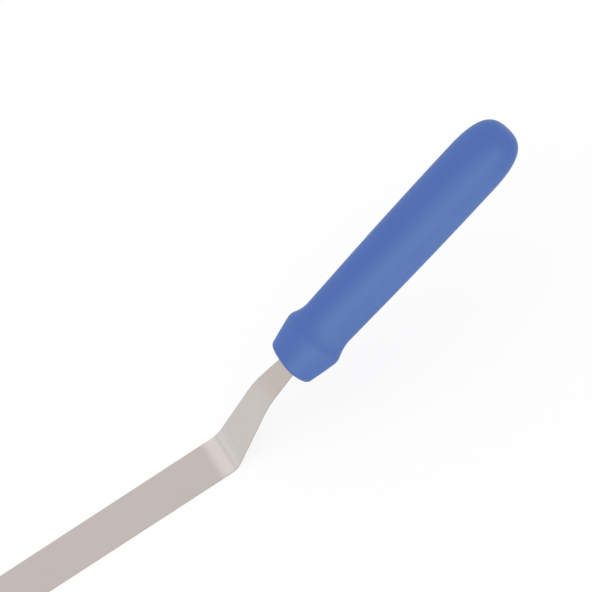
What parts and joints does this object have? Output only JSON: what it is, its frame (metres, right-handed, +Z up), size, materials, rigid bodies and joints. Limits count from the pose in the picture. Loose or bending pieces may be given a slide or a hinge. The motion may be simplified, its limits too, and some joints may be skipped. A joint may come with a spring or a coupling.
{
  "type": "palette knife",
  "caption": "Cranked palette knife: a flat round-tipped steel blade with an offset neck, in a moulded plastic handle with a flared finger guard.",
  "frame": {"origin": "middle of the flat underside of the blade", "axes": "+X from the blade towards the handle, +Z up out of the blade's upper face, Y across the blade, which is the plane of symmetry's normal"},
  "size_m": [0.2538, 0.026, 0.0672],
  "materials": {
    "steel": "satin ground stainless steel",
    "grip_plastic": "satin moulded polypropylene"
  },
  "bodies": {
    "root": {"blade": "steel", "handle": "grip_plastic"}
  },
  "joints": []
}
